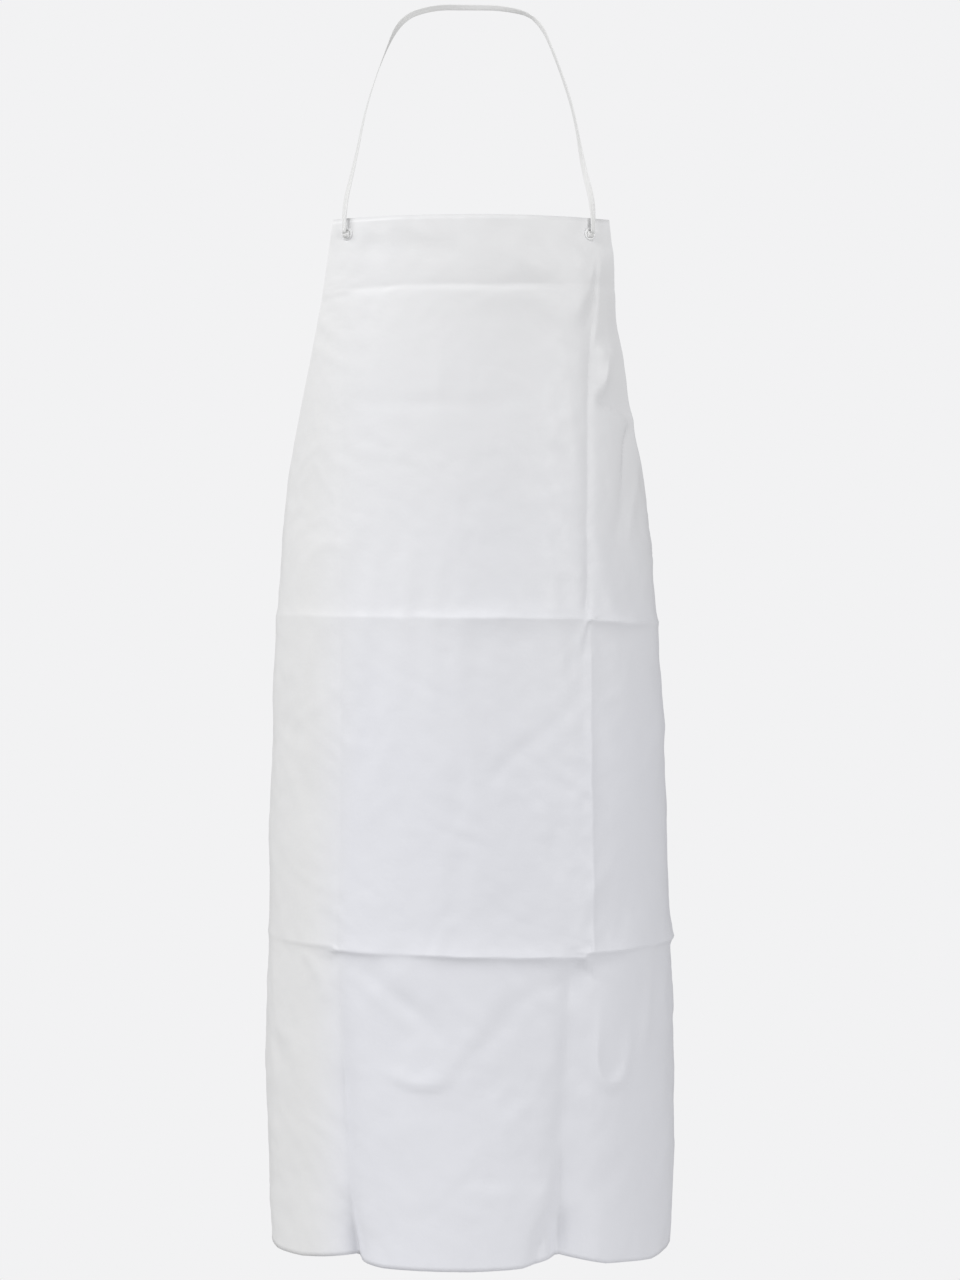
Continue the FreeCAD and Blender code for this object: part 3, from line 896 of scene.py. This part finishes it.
def settling(s, v):
    """How far each point of the sheet moves outwards as it settles."""
    rows = np.unique(np.append(np.arange(0, len(v), COARSE_ROW_STEP), len(v) - 1))
    few_s = np.linspace(s[rows, 0], s[rows, -1], COARSE_COLUMNS).T
    down = np.broadcast_to(v[rows][:, None], few_s.shape)
    start, level = on_body(few_s, v[rows])
    start = start + level * (unevenness(few_s, down) + crumples(few_s, down))[..., None]
    stiff = np.maximum(1 - eased(*STIFF_TOP, down), 1 - clear_of_eyelets(few_s, down, *STIFF_ROUND_EYELETS))
    slack = eased(*SLACK_RISE, noise_at(few_s, down, SLACK_LENGTH, SLACK_SEED))
    moved = simulated(start, np.maximum(stiff, SOFT_HOLD), slack) - start
    outwards = np.clip((moved * level).sum(axis=2), -MOST_SETTLING, MOST_SETTLING) * (1 - stiff)
    outwards = spread(outwards, rows, np.arange(len(v)), 0)
    places = np.linspace(0, 1, SETTLED_COLUMNS)
    outwards = smoothed(spread(outwards, np.linspace(0, 1, COARSE_COLUMNS), places, 1))
    shares = (s - s[:, :1]) / (s[:, -1:] - s[:, :1])
    return np.array([np.interp(share, places, line) for share, line in zip(shares, outwards)])


def make_panel():
    """The whole apron's sheet, one closed mesh."""
    s, v = sheet_grid()
    outer, normals = surface(s, v, settling(s, v))
    mesh = shell("apron_sheet", outer, outer - normals * SHEET_THICKNESS)
    return add_piece("apron_sheet", mesh, VINYL, "apron_panel")


panel = make_panel()


# ---------------------------------------------------------------- layers welded behind the sheet

# How far behind the sheet's outer face a layer's own faces lie.
LAYER_FRONT = 1.0 * MM
LAYER_BACK = 2.5 * MM
STRIP_WIDTH = 22 * MM
STRIP_ROWS = 8
STRIP_COLUMNS = 121
EDGE_MARGIN = 1.0 * MM
PATCH_RADIUS = 22 * MM
PATCH_RINGS = 9
PATCH_STEPS = 48


def make_strip():
    """The strip behind the bib's top edge."""
    v = np.linspace(EDGE_MARGIN, STRIP_WIDTH, STRIP_ROWS)
    share = np.linspace(-1, 1, STRIP_COLUMNS)
    s = np.array([(half_span(down) - EDGE_MARGIN) * share for down in v])
    points, normals = surface(s, v)
    mesh = shell("bib_top_band", points - normals * LAYER_FRONT, points - normals * LAYER_BACK)
    return add_piece("bib_top_band", mesh, VINYL, "bib_top_strip")


def make_patch(side, sign):
    """A round patch behind a waist eyelet, with the eyelet's hole in it."""
    across, down = EYELETS["waist"]
    radii = np.linspace(HOLE_RADIUS, PATCH_RADIUS, PATCH_RINGS)[:, None]
    turn = np.arange(PATCH_STEPS) * 2 * math.pi / PATCH_STEPS
    s = (sign * across + radii * np.cos(turn)).reshape(-1, 1)
    v = (down + radii * np.sin(turn)).reshape(-1)
    points, normals = on_body(s, v)
    points = points + normals * relief(s, v[:, None])[..., None]
    front_face = (points - normals * LAYER_FRONT).reshape(-1, 3)
    back_face = (points - normals * LAYER_BACK).reshape(-1, 3)
    count = len(front_face)
    faces = grid_faces(PATCH_RINGS, PATCH_STEPS, closed=True)
    faces += grid_faces(PATCH_RINGS, PATCH_STEPS, count, flipped=True, closed=True)
    for first, turned in ((0, False), (count - PATCH_STEPS, True)):
        for i in range(PATCH_STEPS):
            beside = (i + 1) % PATCH_STEPS
            quad = (first + beside, first + i, count + first + i, count + first + beside)
            faces.append(quad[::-1] if turned else quad)
    mesh = mesh_of(f"waist_backing_{side}", np.concatenate([front_face, back_face]), faces)
    return add_piece(f"waist_backing_{side}", mesh, VINYL, f"waist_patch_{side}")


strip = make_strip()
patches = [make_patch(side, sign) for side, sign in SIDES.items()]


# ---------------------------------------------------------------- eyelets and washers

# Cross-sections: (radius, height, rounding) of each corner, in millimetres.
EYELET_CORNERS = (
    (4.5, -4.1, 0.2),
    (6.2, -4.1, 0.25),
    (6.2, -3.6, 0.2),
    (5.3, -3.6, 0.1),
    (5.3, 0.05, 0.1),
    (7.5, 0.05, 0.2),
    (7.5, 1.3, 0.9),
    (4.5, 1.3, 0.9),
)
WASHER_CORNERS = ((5.45, -3.5, 0.1), (7.5, -3.5, 0.3), (7.5, -2.8, 0.3), (5.45, -2.8, 0.1))
CORNER_STEPS = 5
LATHE_STEPS = 64
SEAT_STEP = 1 * MM
CUTTER_STEPS = 40
CUTTER_LENGTH = 16 * MM


def seat(row, sign):
    """An eyelet's own frame on the sheet: x level, y up the sheet and z outwards."""
    across, down = EYELETS[row]
    steps = np.array([-SEAT_STEP, 0, SEAT_STEP])
    points, normals = surface(np.tile(sign * across + steps, (3, 1)), down + steps)
    outwards = Vector(normals[1, 1])
    level = Vector((0, 0, 1)).cross(outwards).normalized()
    up = outwards.cross(level)
    turned = Matrix((level, up, outwards)).transposed().to_4x4()
    return Matrix.Translation(Vector(points[1, 1])) @ turned


def rounded(corners):
    """The outline through a cross-section's corners, each eased by its rounding."""
    line = []
    for before, (r, z, ease), after in zip(corners[-1:] + corners[:-1], corners, corners[1:] + corners[:1]):
        corner = Vector((r, z))
        enter = corner + (Vector(before[:2]) - corner).normalized() * ease
        leave = corner + (Vector(after[:2]) - corner).normalized() * ease
        for t in np.linspace(0, 1, CORNER_STEPS):
            line.append(enter * (1 - t) ** 2 + corner * (2 * t * (1 - t)) + leave * t**2)
    return [point * MM for point in line]


def lathe(name, corners, place, replaced):
    """A plastic ring turned about the z axis of its place."""
    line = rounded(corners)
    points = []
    for i in range(LATHE_STEPS):
        turn = i * 2 * math.pi / LATHE_STEPS
        points += [place @ Vector((p.x * math.cos(turn), p.x * math.sin(turn), p.y)) for p in line]
    around = len(line)
    total = LATHE_STEPS * around
    faces = [tuple(i % total for i in face) for face in grid_faces(LATHE_STEPS + 1, around, closed=True)]
    add_piece(name, mesh_of(name, points, faces), PLASTIC, replaced)


def punch(piece, places):
    """Cuts the eyelets' holes through a piece."""
    cutters = bmesh.new()
    for place in places:
        made = bmesh.ops.create_cone(
            cutters,
            cap_ends=True,
            segments=CUTTER_STEPS,
            radius1=HOLE_RADIUS,
            radius2=HOLE_RADIUS,
            depth=CUTTER_LENGTH,
        )
        bmesh.ops.transform(cutters, matrix=place, verts=made["verts"])
    mesh = bpy.data.meshes.new("punch")
    cutters.to_mesh(mesh)
    cutters.free()
    tool = new_object("punch", mesh)
    cut = piece.modifiers.new("holes", "BOOLEAN")
    cut.object = tool
    cut.operation = "DIFFERENCE"
    cut.solver = "EXACT"
    graph = bpy.context.evaluated_depsgraph_get()
    uncut = piece.data
    piece.data = bpy.data.meshes.new_from_object(piece.evaluated_get(graph))
    piece.modifiers.clear()
    bpy.data.objects.remove(tool)
    bpy.data.meshes.remove(mesh)
    bpy.data.meshes.remove(uncut)


seats = {(row, side): seat(row, sign) for row in EYELETS for side, sign in SIDES.items()}
for (row, side), place in seats.items():
    lathe(f"{row}_grommet_{side}", EYELET_CORNERS, place, f"{row}_eyelet_{side}")
    lathe(f"{row}_back_ring_{side}", WASHER_CORNERS, place, f"{row}_washer_{side}")
punch(panel, list(seats.values()))
punch(strip, [seats["bib", side] for side in SIDES])


# ---------------------------------------------------------------- knots behind the bib

# The tape's way from the hinge in to the knot, and the loose tail after it, as (up, outwards) in the eyelet's
# own frame, then widths and thicknesses at shares of the way. All in millimetres.
STUB = ((0, 5.4), (-0.7, 4.9), (-1, 3.6), (-0.9, 1), (-0.5, -2.5), (-0.2, -6.5), (0, -8.5))
STUB_WIDTHS = ((0, 5), (0.15, 6), (0.35, 8.4), (0.7, 8.4), (1, 5))
STUB_THICKNESSES = ((0, 1.9), (0.15, 3.4), (0.35, 7.6), (0.6, 8.2), (1, 3.6))
TAIL = ((-1, -9.5), (-5, -12.4), (-12, -12.6), (-20, -11.6), (-27, -11.9))
TAIL_WIDTHS = ((0, 4.2), (0.3, 6.6), (1, 7))
TAIL_THICKNESSES = ((0, 2.4), (0.4, 1.2), (1, 1.2))
ENDS = ((STUB, STUB_WIDTHS, STUB_THICKNESSES), (TAIL, TAIL_WIDTHS, TAIL_THICKNESSES))
KNOT_CENTRE = -9.6
KNOT_SIZE = 4.5
KNOT_HEIGHT = 3.0
KNOT_STEPS = 96
KNOT_STRAND_WIDTH = 3.4 * MM
KNOT_STRAND_SWELL = 1.3


def widths_along(count, stops):
    """The width at each of count points, from (share of the way, millimetres) stops."""
    shares, widths = np.array(stops).T
    return np.interp(np.linspace(0, 1, count), shares, widths) * MM


def tape_end(place, line, widths, thicknesses):
    """A length of tape along a smooth line in an eyelet's frame."""
    smooth = smooth_line([(0, up, out) for up, out in line])
    points = np.array([place @ (Vector(p) * MM) for p in smooth])
    facing = np.cross(np.array(place.col[0].xyz), unit(np.gradient(points, axis=0)))
    count = len(points)
    return flat_ribbon(points, facing, widths_along(count, widths), widths_along(count, thicknesses))


def make_knot(side, place):
    """The tape's end: through the eyelet into a tight overhand knot, and a short loose tail."""
    parts = [tape_end(place, *end) for end in ENDS]
    turn = np.linspace(0, 2 * math.pi, KNOT_STEPS)
    knot = np.array([
        (np.sin(turn) + 2 * np.sin(2 * turn)) / 3 * KNOT_SIZE,
        (np.cos(turn) - 2 * np.cos(2 * turn)) / 3 * KNOT_SIZE,
        KNOT_CENTRE - np.sin(3 * turn) * KNOT_HEIGHT / 2,
    ]).T * MM
    points = np.array([place @ Vector(p) for p in knot])
    middle = np.array(place @ Vector((0, 0, KNOT_CENTRE * MM)))
    parts.append(flat_ribbon(points, points - middle, KNOT_STRAND_WIDTH, TAPE_THICKNESS * KNOT_STRAND_SWELL))
    mesh = joined(f"tape_knot_{side}", [part[:2] for part in parts])
    give_weave(mesh, [c for part in parts for c in part[2]])
    add_piece(f"tape_knot_{side}", mesh, TAPE, f"neck_knot_{side}")


for side in SIDES:
    make_knot(side, seats["bib", side])


# ---------------------------------------------------------------- lights, floor and backdrop

BACKDROP_COLOUR = (0.888, 0.888, 0.896, 1)
AMBIENT_COLOUR = (0.99, 0.99, 1.0, 1)
AMBIENT = 0.4
# The floor lies below the picture's lower edge and shows only from other views.
FLOOR_DROP = 1.95
FLOOR_RADIUS = 1.3
FLOOR_STEPS = 96
FLOOR_FADES = (0.35, 1.25)
FLOOR_COLOUR = (0.9, 0.9, 0.9, 1)
LIT_POINT = (0, -0.1, -0.85)
LIGHT_SIZE = 3.0
LIGHTS = (
    ("key", (-4.8, -4.4, 3.6), 190),
    ("side", (-6.0, -1.6, 3.2), 153),
    ("fill", (4.2, -4.6, 0.3), 132),
)


def area_light(name, place, power):
    """A round soft light that looks at the middle of the apron."""
    data = bpy.data.lights.new(name, "AREA")
    data.shape = "DISK"
    data.size = LIGHT_SIZE
    data.energy = power
    light = new_object(name, data)
    light.location = place
    light.rotation_euler = (Vector(LIT_POINT) - Vector(place)).to_track_quat("-Z", "Y").to_euler()


def make_world():
    """An even pale backdrop for the camera, and a weaker even light for the object."""
    world = bpy.data.worlds.new("studio")
    world.use_nodes = True
    nodes = world.node_tree.nodes
    links = world.node_tree.links
    seen = nodes["Background"]
    seen.inputs["Color"].default_value = BACKDROP_COLOUR
    lit = nodes.new("ShaderNodeBackground")
    lit.inputs["Color"].default_value = AMBIENT_COLOUR
    lit.inputs["Strength"].default_value = AMBIENT
    path = nodes.new("ShaderNodeLightPath")
    mix = nodes.new("ShaderNodeMixShader")
    links.new(path.outputs["Is Camera Ray"], mix.inputs["Fac"])
    links.new(lit.outputs[0], mix.inputs[1])
    links.new(seen.outputs[0], mix.inputs[2])
    links.new(mix.outputs[0], nodes["World Output"].inputs["Surface"])
    bpy.context.scene.world = world


def make_floor():
    """A pale floor that fades into the backdrop."""
    made, nodes, links, shader = material("floor")
    distance = nodes.new("ShaderNodeVectorMath")
    distance.operation = "LENGTH"
    links.new(object_places(nodes), distance.inputs[0])
    fade = eased_range(nodes, links, distance.outputs["Value"], FLOOR_FADES, (1, 0))
    links.new(fade, shader.inputs["Alpha"])
    shader.inputs["Base Color"].default_value = FLOOR_COLOUR
    shader.inputs["Roughness"].default_value = 0.8
    mesh = bpy.data.meshes.new("floor")
    shape = bmesh.new()
    bmesh.ops.create_circle(shape, cap_ends=True, radius=FLOOR_RADIUS, segments=FLOOR_STEPS)
    shape.to_mesh(mesh)
    shape.free()
    mesh.materials.append(made)
    floor = new_object("floor", mesh)
    floor.location = (0, 0, -FLOOR_DROP)


make_world()
make_floor()
for light in LIGHTS:
    area_light(*light)
bpy.context.scene.view_settings.view_transform = "Standard"
